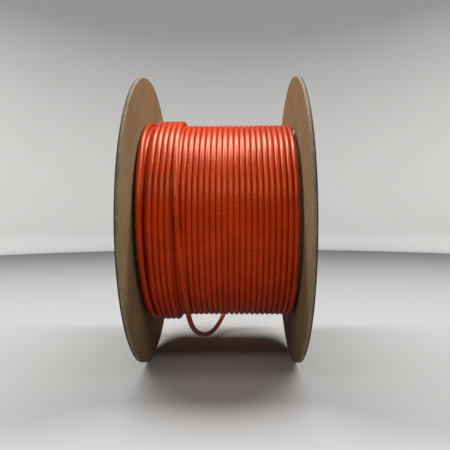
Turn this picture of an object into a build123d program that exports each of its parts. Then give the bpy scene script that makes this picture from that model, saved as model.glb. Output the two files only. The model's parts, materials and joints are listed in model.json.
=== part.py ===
from build123d import *

import math
import os

# A simplex fiber optic patch cord on its shipping reel.
# Frame: origin at the middle of the reel's axis, X along the axis, +Z up, -Y the front.
# The reel stands on its rims. Angles round the reel grow front, underside, back, top.
# All sizes are in millimetres and degrees.

# ---------------------------------------------------------------- reel
FLANGE_RADIUS = 82.5
FLANGE_THICKNESS = 2.1
FOOT_WIDTH = 10.0  # of the slight flat that standing presses into each rim
TRAVERSE = 83.0  # between the flanges' inner faces
CORE_RADIUS = 49.8
CORE_WALL = 3.0
END_PLUG_THICKNESS = 10.0
END_PLUG_GAP = 0.2  # round the plug, in the tube
ARBOR_RADIUS = 8.0
ARBOR_CLEARANCE_RADIUS = 9.0  # the hole in each flange, wider than the plug's bore
ROD_CIRCLE_RADIUS = 32.0
ROD_RADIUS = 2.0
ROD_HOLE_RADIUS = 2.2
ROD_COUNT = 3
ROD_CHAMFER = 0.4
ROD_OVERHANG = 1.4  # past each nut
WASHER_RADIUS = 4.5
WASHER_THICKNESS = 0.8
NUT_ACROSS_FLATS = 7.0
NUT_THICKNESS = 3.2
NUT_BORE_RADIUS = 2.05

# ---------------------------------------------------------------- cord
CORD_DIAMETER = 2.88
PITCH = 2.93  # from one turn to the next, and from one layer to the next
FULL_LAYERS = 2
TURNS_PER_LAYER = 27
RIGHT_TURN_X = 38.5  # centre of the turn nearest to the right flange
TOP_TURNS = 5  # turns of the part-wound layer that lie in the grooves below them
FIRST_TOP_TURN = 1.5  # pitches in from the left end of the full layer
NEST = math.sqrt(3) / 2  # radial step of a turn that lies in a groove, in pitches
JACKET_BORE_RADIUS = 0.9
JACKET_BORE_LENGTH = 20.0
CORD_CLEARANCE = 0.2

# Turns run square to the axis and step sideways only across the back.
CROSS_START = 140.0
CROSS_END = 220.0
TOP_RAMP = 24.0  # degrees in which a top turn climbs out of its groove
TOP_START = CROSS_START - TOP_RAMP
TOP_END = CROSS_END + TOP_RAMP
CLIMB_START = 128.0  # from the full layers on to the top one
CLIMB_END = 206.0
SWING = 0.45  # how far a turn that changes layer swings towards the flange, in pitches

# ---------------------------------------------------------------- plugs, from the front face back
GRIP_WIDTH = 9.0
GRIP_HEIGHT = 7.4
GRIP_FRONT = -1.6
GRIP_LENGTH = 23.0
GRIP_WINDOW = (8.0, 3.4)
KEY_WIDTH = 2.6
KEY_HEIGHT = 0.9
KEY_LENGTH = 9.0
FRAME_WIDTH = 6.8
FRAME_HEIGHT = 5.6
FRAME_LENGTH = 18.5
FRAME_CAVITY_RADIUS = 2.45
FRAME_CAVITY_DEPTH = 7.5
FRAME_THROAT_RADIUS = 1.6
FRAME_REAR_RADIUS = 2.3
FERRULE_RADIUS = 1.25
FERRULE_TIP = 0.4
FERRULE_LENGTH = 10.4
FERRULE_CHAMFER = 0.25
FERRULE_BORE_RADIUS = 0.3
HOLDER_FRONT = -7.0
HOLDER_HEAD_RADIUS = 1.5
HOLDER_COLLAR_RADIUS = 2.1
HOLDER_COLLAR_FRONT = -9.3
HOLDER_COLLAR_LENGTH = 1.4
HOLDER_TAIL_RADIUS = 1.1
HOLDER_TAIL_REAR = -17.4
HOLDER_BORE_RADIUS = 0.65
SPRING_RADIUS = 1.65
SPRING_WIRE_RADIUS = 0.22
SPRING_FRONT = -10.9
SPRING_REAR = -16.4
SPRING_COILS = 5
STOP_FRONT = -16.6
STOP_BARREL_RADIUS = 2.15
STOP_BORE_RADIUS = 1.3
STOP_FLANGE_FRONT = -18.8
STOP_FLANGE_RADIUS = 2.7
STOP_FLANGE_LENGTH = 1.2
STOP_POST_RADIUS = 1.8
STOP_REAR = -28.0
CRIMP_FRONT = -20.6
CRIMP_REAR = -33.0
CRIMP_BORE_RADIUS = 2.15
CRIMP_RADIUS = 2.55
CRIMP_NECK_BORE_RADIUS = 1.7
CRIMP_NECK_LENGTH = 4.0
BOOT_FRONT = -26.6
BOOT_REAR = -52.0
BOOT_FRONT_RADIUS = 3.3
BOOT_REAR_RADIUS = 2.4
BOOT_SEAT_RADIUS = 2.75
BOOT_SEAT_DEPTH = 7.2
BOOT_BORE_RADIUS = 1.75
BOOT_SLOT_COUNT = 6
BOOT_SLOT_WIDTH = 1.0
BOOT_SLOT_PITCH = 2.6
BOOT_SLOT_OFFSET = 0.8  # of the first slot behind the seat, in slot pitches
BOOT_SPINE = 1.6
CAP_RADIUS = 2.2
CAP_INSERT = 6.2
CAP_LENGTH = 13.0
CAP_HEAD_RADIUS = 2.8
CAP_HEAD_LENGTH = 1.6
CAP_CHAMFER = 0.4
CAP_BORE_RADIUS = 1.33
CAP_TIP_ROOM = 0.8
CAP_RIB_COUNT = 3
CAP_RIB_START = 1.2
CAP_RIB_PITCH = 1.3
CAP_RIB_HEIGHT = 0.25
CAP_RIB_WIDTH = 0.5
GRIP_CORNER = 0.8
GRIP_REAR_CHAMFER = 0.4
KEY_SETBACK = 0.8
WINDOW_SETBACK = 3.4
GROOVE_COUNT = 4
GROOVE_START = 14.5
GROOVE_PITCH = 1.9
GROOVE_WIDTH = 0.8
GROOVE_LENGTH = 6.4
GROOVE_DEPTH = 0.35
FRAME_CORNER = 0.6
FRAME_CHAMFER = 0.3
FRAME_COLLAR_GAP = 0.15
CATCH_SETBACK = 4.6
CATCH_LENGTH = 2.2
CATCH_WIDTH = 2.6
CATCH_DEPTH = 0.45
FIT = 0.15  # between the grip and the frame
HOLDER_FERRULE_GAP = 0.03
JACKET_END = -30.2
YARN_REAR = -46.0
YARN_BORE_RADIUS = 0.6
YARN_LAYER = 0.12
YARN_POST_RADIUS = 1.93  # where it is crimped on the stop body
YARN_FLARE_START = -30.0
YARN_FLARE_END = -28.3
YARN_FRONT = -21.6
BUFFER_RADIUS = 0.45
BUFFER_BORE_RADIUS = 0.12
BUFFER_FRONT = -11.6
BUFFER_REAR = -44.0
FIBER_RADIUS = 0.0625

# ---------------------------------------------------------------- where the two plugs rest
OUTER_PLUG_X = 16.0
OUTER_PLUG_FRONT_Z = 40.0
LEAD_PLUG_Y = 52.0
LEAD_PLUG_FRONT_Z = -42.0
PLUG_REST_GAP = 0.4

# ---------------------------------------------------------------- the lead end's way out
LEAD_ENTRY_ANGLE = 300.0
LEAD_OUTSIDE_ANGLE = 262.0
LEAD_OUTSIDE_GAP = 0.35
SLOT_WIDTH = 3.9
SLOT_SHIFT = 0.3  # outwards, to clear the tube
SLOT_START_ANGLE = 263.5
SLOT_END_ANGLE = 291.5
LEAD_TAPE_CENTRE = (28.8, 46.2)
LEAD_TAPE_RUN = (-6.26, 2.3)
TAPE_THICKNESS = 0.25
TAPE_WIDTH = 15.0
TAPE_FOOT = 7.0
TAPE_SHOULDER = 2.6
TAPE_GAP = 0.9
TAPE_LIFT = 0.02

HALF_TRAVERSE = TRAVERSE / 2
REEL_HALF_WIDTH = HALF_TRAVERSE + FLANGE_THICKNESS
FOOT_DEPTH = FLANGE_RADIUS - math.sqrt(FLANGE_RADIUS**2 - FOOT_WIDTH**2 / 4)
CORE_BORE_RADIUS = CORE_RADIUS - CORE_WALL
FIRST_RADIUS = CORE_RADIUS + CORD_CLEARANCE + CORD_DIAMETER / 2
LEFT_TURN_X = RIGHT_TURN_X - (TURNS_PER_LAYER - 1) * PITCH
SLOT_RADIUS = FIRST_RADIUS + SLOT_SHIFT
FULL_RADIUS = FIRST_RADIUS + (FULL_LAYERS - 1) * PITCH
TOP_RADIUS = FULL_RADIUS + NEST * PITCH

os.makedirs("parts", exist_ok=True)


def save(part, name):
    """Name a finished piece and write it."""
    part.label = name
    export_step(part, f"parts/{name}.step")


def on_reel(x, radius, angle):
    """A point at an angle round the reel: 0 front, 90 underside, 180 back, 270 top."""
    turn = math.radians(angle)
    return Vector(x, -radius * math.cos(turn), -radius * math.sin(turn))


def along_reel(angle):
    """The direction in which a turn runs at that angle."""
    turn = math.radians(angle)
    return Vector(0, math.sin(turn), -math.cos(turn))


def ease(share):
    """0 to 1 with level ends."""
    share = min(max(share, 0.0), 1.0)
    return share * share * (3 - 2 * share)


# ================================================================ reel pieces
def make_flange(side, name):
    """A fibreboard disc with an arbor hole, rod holes, a slot for the lead end and a flat to stand on."""
    outer = Plane.YZ.offset(side * REEL_HALF_WIDTH)
    slot_start = SLOT_START_ANGLE - 180
    slot_sweep = SLOT_END_ANGLE - SLOT_START_ANGLE
    with BuildPart() as flange:
        with BuildSketch(outer):
            Circle(FLANGE_RADIUS)
            with Locations((0, -FLANGE_RADIUS)):
                Rectangle(2 * FOOT_WIDTH, 2 * FOOT_DEPTH, mode=Mode.SUBTRACT)
            Circle(ARBOR_CLEARANCE_RADIUS, mode=Mode.SUBTRACT)
            with PolarLocations(ROD_CIRCLE_RADIUS, ROD_COUNT, start_angle=90):
                Circle(ROD_HOLE_RADIUS, mode=Mode.SUBTRACT)
            with BuildLine():
                inner_edge = CenterArc((0, 0), SLOT_RADIUS - SLOT_WIDTH / 2, slot_start, slot_sweep)
                outer_edge = CenterArc((0, 0), SLOT_RADIUS + SLOT_WIDTH / 2, slot_start, slot_sweep)
                Line(inner_edge @ 0, outer_edge @ 0)
                Line(inner_edge @ 1, outer_edge @ 1)
            make_face(mode=Mode.SUBTRACT)
        extrude(amount=-side * FLANGE_THICKNESS)
    save(flange.part, name)


def make_core_tube():
    """The wound paper tube that carries the turns."""
    with BuildPart() as tube:
        with BuildSketch(Plane.YZ.offset(-HALF_TRAVERSE)):
            Circle(CORE_RADIUS)
            Circle(CORE_BORE_RADIUS, mode=Mode.SUBTRACT)
        extrude(amount=TRAVERSE)
    save(tube.part, "core_tube")


def make_end_plug(side, name):
    """A disc in the end of the core tube, with the arbor bore."""
    with BuildPart() as plug:
        with BuildSketch(Plane.YZ.offset(side * HALF_TRAVERSE)):
            Circle(CORE_BORE_RADIUS - END_PLUG_GAP)
            Circle(ARBOR_RADIUS, mode=Mode.SUBTRACT)
            with PolarLocations(ROD_CIRCLE_RADIUS, ROD_COUNT, start_angle=90):
                Circle(ROD_HOLE_RADIUS, mode=Mode.SUBTRACT)
        extrude(amount=-side * END_PLUG_THICKNESS)
    save(plug.part, name)


def make_rod_set():
    """Tie rods that clamp the flanges, with a washer and a nut at each end."""
    rod_half = REEL_HALF_WIDTH + WASHER_THICKNESS + NUT_THICKNESS + ROD_OVERHANG
    with BuildPart() as rods:
        with BuildSketch(Plane.YZ.offset(-rod_half)):
            with PolarLocations(ROD_CIRCLE_RADIUS, ROD_COUNT, start_angle=90):
                Circle(ROD_RADIUS)
        extrude(amount=2 * rod_half)
        chamfer(rods.edges().filter_by(GeomType.CIRCLE), ROD_CHAMFER)
    save(rods.part, "tie_rods")

    with BuildPart() as washers:
        for side in (-1, 1):
            with BuildSketch(Plane.YZ.offset(side * REEL_HALF_WIDTH)):
                with PolarLocations(ROD_CIRCLE_RADIUS, ROD_COUNT, start_angle=90):
                    Circle(WASHER_RADIUS)
                    Circle(ROD_HOLE_RADIUS, mode=Mode.SUBTRACT)
            extrude(amount=side * WASHER_THICKNESS)
    save(washers.part, "tie_rod_washers")

    with BuildPart() as nuts:
        for side in (-1, 1):
            with BuildSketch(Plane.YZ.offset(side * (REEL_HALF_WIDTH + WASHER_THICKNESS))):
                with PolarLocations(ROD_CIRCLE_RADIUS, ROD_COUNT, start_angle=90):
                    RegularPolygon(NUT_ACROSS_FLATS / 2, 6, major_radius=False)
                    Circle(NUT_BORE_RADIUS, mode=Mode.SUBTRACT)
            extrude(amount=side * NUT_THICKNESS)
    save(nuts.part, "tie_rod_nuts")


# ================================================================ the cord's path
def layer_radius(layer):
    """Centre radius of a full layer, 1 against the core."""
    return FIRST_RADIUS + (layer - 1) * PITCH


def step_over(share):
    """0 to 1, level at both ends, by two equal parabolas."""
    share = min(max(share, 0.0), 1.0)
    return 2 * share * share if share < 0.5 else 1 - 2 * (1 - share) ** 2


def bow(start, direction, end):
    """The middle of the arc that leaves start in a direction and ends at end."""
    chord = end - start
    along = chord.normalized()
    side = direction - along * direction.dot(along)
    return (start + end) * 0.5 + side * (chord.length / 2 / (1 + direction.dot(along)))


def join(start, start_direction, end, end_direction):
    """Two arcs from start to end that share a tangent where they meet."""
    gap = end - start
    turn = 1 - start_direction.dot(end_direction)
    if turn < 1e-9:
        Line(start, end)
        return
    along = gap.dot(start_direction + end_direction)
    reach = (math.sqrt(along * along + 2 * turn * gap.dot(gap)) - along) / (2 * turn)
    middle = (start + end + (start_direction - end_direction) * reach) * 0.5
    ThreePointArc(start, bow(start, start_direction, middle), middle)
    ThreePointArc(middle, bow(end, -end_direction, middle), end)


def follow(curve, start, end, pieces):
    """Arcs along a curve that gives a point for each angle, from start to end."""
    nudge = 0.01
    angles = [start + (end - start) * i / pieces for i in range(pieces + 1)]
    directions = [(curve(angle + nudge) - curve(angle - nudge)).normalized() for angle in angles]
    for i in range(pieces):
        join(curve(angles[i]), directions[i], curve(angles[i + 1]), directions[i + 1])


def follow_line(line, pieces):
    """Arcs along a spline."""
    for i in range(pieces):
        here = i / pieces
        there = (i + 1) / pieces
        join(line @ here, line % here, line @ there, line % there)


def square_arc(x, radius, start=CROSS_END - 360, end=CROSS_START):
    """The part of a turn that runs square to the axis."""
    middle = (start + end) / 2
    ThreePointArc(on_reel(x, radius, start), on_reel(x, radius, middle), on_reel(x, radius, end))


def cross_share(angle):
    """How far across the back an angle is, 0 to 1."""
    return (angle - CROSS_START) / (CROSS_END - CROSS_START)


def cross(start_x, end_x, radius):
    """The step from one turn to the next, across the back."""
    join(
        on_reel(start_x, radius, CROSS_START),
        along_reel(CROSS_START),
        on_reel(end_x, radius, CROSS_END),
        along_reel(CROSS_END),
    )


def change_layer(x, radius):
    """The last turn of a layer swings out beside the flange and climbs onto the next one."""
    swing = SWING * PITCH * (1 if x > 0 else -1)

    def climb(angle):
        share = cross_share(angle)
        out = swing * math.sin(math.pi * min(max(share, 0.0), 1.0)) ** 2
        return on_reel(x + out, radius + PITCH * step_over(step_over(share)), angle)

    follow(climb, CROSS_START, CROSS_END, 8)


def through(stations, angle):
    """A smooth value between stations, which are pairs of angle and value."""
    if angle <= stations[0][0]:
        return stations[0][1]
    for (low, low_value), (high, high_value) in zip(stations, stations[1:]):
        if angle <= high:
            return low_value + (high_value - low_value) * ease((angle - low) / (high - low))
    return stations[-1][1]


def wind_lead_end():
    """Out of the lead plug, round on the left flange's face and in through the slot."""
    outside_x = -(REEL_HALF_WIDTH + LEAD_OUTSIDE_GAP + CORD_DIAMETER / 2)
    plug_exit = LEAD_SEAT.offset(BOOT_REAR - 2).origin
    Line(LEAD_SEAT.offset(JACKET_END).origin, plug_exit)
    bend = Spline(
        plug_exit,
        on_reel(outside_x, FIRST_RADIUS, LEAD_OUTSIDE_ANGLE),
        tangents=[Vector(0, 0, 1), along_reel(LEAD_OUTSIDE_ANGLE)],
        mode=Mode.PRIVATE,
    )
    follow_line(bend, 6)

    def enter(angle):
        share = (angle - LEAD_OUTSIDE_ANGLE) / (LEAD_ENTRY_ANGLE - LEAD_OUTSIDE_ANGLE)
        return on_reel(outside_x + (LEFT_TURN_X - outside_x) * ease(share), FIRST_RADIUS, angle)

    follow(enter, LEAD_OUTSIDE_ANGLE, LEAD_ENTRY_ANGLE, 4)
    square_arc(LEFT_TURN_X, FIRST_RADIUS, start=LEAD_ENTRY_ANGLE - 360)


def wind_full_layers():
    """The full layers, wound left to right and back by turns."""
    last_turn = TURNS_PER_LAYER - 1
    for layer in range(1, FULL_LAYERS + 1):
        radius = layer_radius(layer)
        from_right = (FULL_LAYERS - layer) % 2 == 0
        first_x = RIGHT_TURN_X if from_right else LEFT_TURN_X
        step_x = -PITCH if from_right else PITCH
        for turn in range(1, last_turn):
            x = first_x + turn * step_x
            cross(x - step_x, x, radius)
            square_arc(x, radius)
        end_x = first_x + last_turn * step_x
        if layer == FULL_LAYERS:
            cross(end_x - step_x, end_x, radius)
            follow(last_full_turn, CROSS_END - 360, TOP_START, 13)
        else:
            cross(end_x - step_x, end_x, radius)
            square_arc(end_x, radius)
            change_layer(end_x, radius)
            square_arc(end_x, radius + PITCH)


def last_full_turn(angle):
    """The last turn of the full layers, which leans towards the left flange below."""
    return on_reel(LEFT_TURN_X + through(LAST_TURN_LEAN, angle), FULL_RADIUS, angle)


def riding_turn(angle):
    """The top layer's first turn, which starts beside the flange and rides across the turn below."""
    aside = through(RIDING_TURN_LEAN, angle)
    off_crest = aside - through(LAST_TURN_LEAN, angle)
    rise = math.sqrt(PITCH * PITCH - off_crest * off_crest)
    return on_reel(LEFT_TURN_X + aside, FULL_RADIUS + rise, angle)


def wind_top_layer():
    """The part-wound layer: the riding turn, then turns in the grooves of the layer below."""
    lift = (1 - NEST) * PITCH
    first_x = LEFT_TURN_X + FIRST_TOP_TURN * PITCH
    climb_start = last_full_turn(TOP_START)
    ride_start = riding_turn(TOP_END - 360)
    ride_end = riding_turn(TOP_START)
    ride_rise = math.hypot(ride_start.Y, ride_start.Z) - FULL_RADIUS
    end_rise = math.hypot(ride_end.Y, ride_end.Z) - FULL_RADIUS

    def climb(angle):
        aside = ease((angle - TOP_START) / (CLIMB_END - TOP_START))
        rise = ride_rise * ease((angle - CLIMB_START) / (CLIMB_END - CLIMB_START))
        return on_reel(climb_start.X + (ride_start.X - climb_start.X) * aside, FULL_RADIUS + rise, angle)

    def settle(angle):
        x = ride_end.X + (first_x - ride_end.X) * step_over(cross_share(angle))
        rise = end_rise + (PITCH - end_rise) * ease((angle - TOP_START) / TOP_RAMP)
        return on_reel(x, FULL_RADIUS + rise - lift * (1 - ease((TOP_END - angle) / TOP_RAMP)), angle)

    follow(climb, TOP_START, TOP_END, 12)
    follow(riding_turn, TOP_END - 360, TOP_START, 13)
    follow(settle, TOP_START, TOP_END, 12)
    for turn in range(TOP_TURNS - 1):
        x = first_x + turn * PITCH
        square_arc(x, TOP_RADIUS, start=TOP_END - 360, end=TOP_START)

        def step(angle, x=x):
            rise = lift * ease(min(angle - TOP_START, TOP_END - angle) / TOP_RAMP)
            return on_reel(x + PITCH * step_over(cross_share(angle)), TOP_RADIUS + rise, angle)

        follow(step, TOP_START, TOP_END, 6)


def wind_free_end():
    """The last turn leans off the layer, hangs in a loop and rises behind to the outer plug."""
    free_x = LEFT_TURN_X + (FIRST_TOP_TURN + TOP_TURNS - 1) * PITCH
    start = TOP_END - 360
    leave = FREE_TURN_LEAN[-1][0]

    def lean(angle):
        aside = through(FREE_TURN_LEAN, angle)
        rise = (1 - NEST) * PITCH * ease(aside / FREE_TURN_RISE)
        return on_reel(free_x + aside, TOP_RADIUS + rise, angle)

    follow(lean, start, leave, 9)
    outer_exit = OUTER_SEAT.offset(BOOT_REAR - 2).origin
    loop = Spline(
        lean(leave),
        *[Vector(*point) for point in FREE_LOOP],
        outer_exit,
        tangents=[along_reel(leave), Vector(0, 0, 1)],
        mode=Mode.PRIVATE,
    )
    follow_line(loop, 16)
    Line(outer_exit, OUTER_SEAT.offset(JACKET_END).origin)


# Angle, and how far a turn leans from its place there.
LAST_TURN_LEAN = [(-45, 0.0), (75, -1.25)]
RIDING_TURN_LEAN = [(-75, -1.97), (65, 0.63)]
FREE_TURN_LEAN = [(-50, 0.0), (54, 4.1)]
FREE_TURN_RISE = 0.5  # sideways lean by which the turn has left its groove
FREE_LOOP = [
    (-16.4, -6, -64.2),
    (-12.2, 17, -73.6),
    (-6.0, 40, -75.8),
    (0.2, 59, -68.6),
    (8.0, 70, -48.0),
    (14.0, 68.5, -28.0),
]

OUTER_SEAT = Plane(
    origin=(
        OUTER_PLUG_X,
        FULL_RADIUS + CORD_DIAMETER / 2 + PLUG_REST_GAP + GRIP_HEIGHT / 2,
        OUTER_PLUG_FRONT_Z,
    ),
    x_dir=(1, 0, 0),
    z_dir=(0, 0, 1),
)
LEAD_SEAT = Plane(
    origin=(-(REEL_HALF_WIDTH + PLUG_REST_GAP + GRIP_HEIGHT / 2), LEAD_PLUG_Y, LEAD_PLUG_FRONT_Z),
    x_dir=(0, -1, 0),
    z_dir=(0, 0, -1),
)


def make_cord():
    """The orange jacket, in one length from plug to plug, with its bore at both ends."""
    with BuildPart() as cord:
        with BuildLine() as centre_line:
            wind_lead_end()
            wind_full_layers()
            wind_top_layer()
            wind_free_end()
        path = centre_line.wires()[0]
        with BuildSketch(Plane(origin=path @ 0, z_dir=path % 0)):
            Circle(CORD_DIAMETER / 2)
        sweep(path=path)
        for seat in (LEAD_SEAT, OUTER_SEAT):
            with BuildSketch(seat.offset(JACKET_END)):
                Circle(JACKET_BORE_RADIUS)
            extrude(amount=-JACKET_BORE_LENGTH, mode=Mode.SUBTRACT)
    save(cord.part, "cord_jacket")


# ================================================================ inside the cord's two ends
def make_cord_core(seat, end):
    """Yarn, buffered fiber and bare glass inside the jacket and the plug."""
    side_view = Plane(origin=seat.origin, x_dir=seat.x_dir, z_dir=-seat.y_dir)
    with BuildPart() as yarn:
        with BuildSketch(side_view):
            with BuildLine():
                Polyline(
                    (YARN_BORE_RADIUS, YARN_REAR),
                    (YARN_BORE_RADIUS, YARN_FLARE_START),
                    (YARN_POST_RADIUS, YARN_FLARE_END),
                    (YARN_POST_RADIUS, YARN_FRONT),
                    (YARN_POST_RADIUS + YARN_LAYER, YARN_FRONT),
                    (YARN_POST_RADIUS + YARN_LAYER, YARN_FLARE_END - YARN_LAYER / 3),
                    (YARN_BORE_RADIUS + YARN_LAYER, YARN_FLARE_START - YARN_LAYER / 3),
                    (YARN_BORE_RADIUS + YARN_LAYER, YARN_REAR),
                    close=True,
                )
            make_face()
        revolve(axis=Axis(seat.origin, seat.z_dir))
    save(yarn.part, f"{end}_aramid_yarn")

    with BuildPart() as buffer:
        with BuildSketch(seat.offset(BUFFER_REAR)):
            Circle(BUFFER_RADIUS)
            Circle(BUFFER_BORE_RADIUS, mode=Mode.SUBTRACT)
        extrude(amount=BUFFER_FRONT - BUFFER_REAR)
    save(buffer.part, f"{end}_fiber_buffer")

    with BuildPart() as fiber:
        with BuildSketch(seat.offset(BUFFER_REAR)):
            Circle(FIBER_RADIUS)
        extrude(amount=FERRULE_TIP - BUFFER_REAR)
    save(fiber.part, f"{end}_glass_fiber")


# ================================================================ plug pieces
def make_ferrule(seat, end):
    """The polished ceramic pin."""
    with BuildPart() as ferrule:
        with BuildSketch(seat.offset(FERRULE_TIP - FERRULE_LENGTH)):
            Circle(FERRULE_RADIUS)
        extrude(amount=FERRULE_LENGTH)
        chamfer(ferrule.edges().filter_by(GeomType.CIRCLE), FERRULE_CHAMFER)
        with BuildSketch(seat.offset(FERRULE_TIP - FERRULE_LENGTH)):
            Circle(FERRULE_BORE_RADIUS)
        extrude(amount=FERRULE_LENGTH, mode=Mode.SUBTRACT)
    save(ferrule.part, f"{end}_ferrule")


def make_ferrule_holder(seat, end):
    """The metal sleeve behind the ferrule, with the collar that the spring pushes."""
    tail_length = HOLDER_COLLAR_FRONT - HOLDER_TAIL_REAR
    ferrule_rear = FERRULE_TIP - FERRULE_LENGTH
    with BuildPart() as holder:
        with BuildSketch(seat.offset(HOLDER_COLLAR_FRONT)):
            Circle(HOLDER_HEAD_RADIUS)
        extrude(amount=HOLDER_FRONT - HOLDER_COLLAR_FRONT)
        with BuildSketch(seat.offset(HOLDER_COLLAR_FRONT)):
            Circle(HOLDER_COLLAR_RADIUS)
        extrude(amount=-HOLDER_COLLAR_LENGTH)
        with BuildSketch(seat.offset(HOLDER_COLLAR_FRONT)):
            Circle(HOLDER_TAIL_RADIUS)
        extrude(amount=-tail_length)
        with BuildSketch(seat.offset(HOLDER_FRONT)):
            Circle(FERRULE_RADIUS + HOLDER_FERRULE_GAP)
        extrude(amount=ferrule_rear - HOLDER_FERRULE_GAP - HOLDER_FRONT, mode=Mode.SUBTRACT)
        with BuildSketch(seat.offset(HOLDER_TAIL_REAR)):
            Circle(HOLDER_BORE_RADIUS)
        extrude(amount=HOLDER_FRONT - HOLDER_TAIL_REAR, mode=Mode.SUBTRACT)
    save(holder.part, f"{end}_ferrule_holder")


def make_ferrule_spring(seat, end):
    """The coil spring that presses the ferrule forwards."""
    length = SPRING_FRONT - SPRING_REAR - 2 * SPRING_WIRE_RADIUS
    with BuildPart() as spring:
        with BuildLine(seat.offset(SPRING_REAR + SPRING_WIRE_RADIUS)):
            coil = Helix(pitch=length / SPRING_COILS, height=length, radius=SPRING_RADIUS)
        with BuildSketch(Plane(origin=coil @ 0, z_dir=coil % 0)):
            Circle(SPRING_WIRE_RADIUS)
        sweep(path=coil, is_frenet=True)
    save(spring.part, f"{end}_ferrule_spring")


def make_plug_frame(seat, end):
    """The inner plug frame: its mouth guides the ferrule and its rear takes the stop body."""
    with BuildPart() as frame:
        with BuildSketch(seat):
            RectangleRounded(FRAME_WIDTH, FRAME_HEIGHT, FRAME_CORNER)
        extrude(amount=-FRAME_LENGTH)
        with BuildSketch(seat):
            Circle(FRAME_CAVITY_RADIUS)
        extrude(amount=-FRAME_CAVITY_DEPTH, mode=Mode.SUBTRACT)
        with BuildSketch(seat):
            Circle(FRAME_THROAT_RADIUS)
        extrude(amount=-FRAME_LENGTH, mode=Mode.SUBTRACT)
        with BuildSketch(seat.offset(-FRAME_LENGTH)):
            Circle(FRAME_REAR_RADIUS)
        extrude(amount=FRAME_LENGTH + HOLDER_COLLAR_FRONT + FRAME_COLLAR_GAP, mode=Mode.SUBTRACT)
        # Catches on the two narrow sides, which an adapter's arms snap over.
        with BuildSketch(seat.offset(-CATCH_SETBACK)):
            with Locations((FRAME_WIDTH / 2, 0), (-FRAME_WIDTH / 2, 0)):
                Rectangle(2 * CATCH_DEPTH, CATCH_WIDTH, mode=Mode.ADD)
        extrude(amount=-CATCH_LENGTH, mode=Mode.SUBTRACT)
        chamfer(frame.faces().sort_by(Axis(seat.origin, seat.z_dir))[-1].outer_wire().edges(), FRAME_CHAMFER)
    save(frame.part, f"{end}_plug_frame")


def make_grip(seat, end):
    """The push-pull grip, a sleeve with a key and two side windows, that slides on the frame."""
    mouth = seat.offset(GRIP_FRONT)
    with BuildPart() as grip:
        with BuildSketch(mouth):
            RectangleRounded(GRIP_WIDTH, GRIP_HEIGHT, GRIP_CORNER)
        extrude(amount=-GRIP_LENGTH)
        grip_rear = grip.faces().sort_by(Axis(seat.origin, seat.z_dir))[0]
        chamfer(grip_rear.edges(), GRIP_REAR_CHAMFER)
        with BuildSketch(mouth.offset(-KEY_SETBACK)):
            with Locations((0, GRIP_HEIGHT / 2)):
                Rectangle(KEY_WIDTH, 2 * KEY_HEIGHT)
        extrude(amount=-KEY_LENGTH)
        # Finger grooves across the two broad sides.
        for groove in range(GROOVE_COUNT):
            with BuildSketch(mouth.offset(-GROOVE_START - groove * GROOVE_PITCH)):
                with Locations((0, GRIP_HEIGHT / 2), (0, -GRIP_HEIGHT / 2)):
                    Rectangle(GROOVE_LENGTH, 2 * GROOVE_DEPTH)
            extrude(amount=-GROOVE_WIDTH, mode=Mode.SUBTRACT)
        with BuildSketch(mouth):
            RectangleRounded(FRAME_WIDTH + 2 * FIT, FRAME_HEIGHT + 2 * FIT, FRAME_CORNER + FIT)
        extrude(amount=-GRIP_LENGTH, mode=Mode.SUBTRACT)
        window_length, window_height = GRIP_WINDOW
        with BuildSketch(mouth.offset(-WINDOW_SETBACK)):
            with Locations((GRIP_WIDTH / 2, 0), (-GRIP_WIDTH / 2, 0)):
                Rectangle(GRIP_WIDTH - FRAME_WIDTH, window_height)
        extrude(amount=-window_length, mode=Mode.SUBTRACT)
    save(grip.part, f"{end}_grip")


def make_stop_body(seat, end):
    """The stop body: it closes the frame behind the spring and carries the crimp."""
    with BuildPart() as stop:
        with BuildSketch(seat.offset(STOP_FRONT)):
            Circle(STOP_BARREL_RADIUS)
        extrude(amount=STOP_FLANGE_FRONT - STOP_FRONT)
        with BuildSketch(seat.offset(STOP_FLANGE_FRONT)):
            Circle(STOP_FLANGE_RADIUS)
        extrude(amount=-STOP_FLANGE_LENGTH)
        with BuildSketch(seat.offset(STOP_FLANGE_FRONT)):
            Circle(STOP_POST_RADIUS)
        extrude(amount=STOP_REAR - STOP_FLANGE_FRONT)
        with BuildSketch(seat.offset(STOP_FRONT)):
            Circle(STOP_BORE_RADIUS)
        extrude(amount=STOP_REAR - STOP_FRONT, mode=Mode.SUBTRACT)
    save(stop.part, f"{end}_stop_body")


def make_crimp_ring(seat, end):
    """The ring that pinches the yarn on the stop body and necks down over the jacket."""
    with BuildPart() as ring:
        with BuildSketch(seat.offset(CRIMP_FRONT)):
            Circle(CRIMP_RADIUS)
        extrude(amount=CRIMP_REAR - CRIMP_FRONT)
        with BuildSketch(seat.offset(CRIMP_FRONT)):
            Circle(CRIMP_BORE_RADIUS)
        extrude(amount=CRIMP_REAR + CRIMP_NECK_LENGTH - CRIMP_FRONT, mode=Mode.SUBTRACT)
        with BuildSketch(seat.offset(CRIMP_FRONT)):
            Circle(CRIMP_NECK_BORE_RADIUS)
        extrude(amount=CRIMP_REAR - CRIMP_FRONT, mode=Mode.SUBTRACT)
    save(ring.part, f"{end}_crimp_ring")


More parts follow.
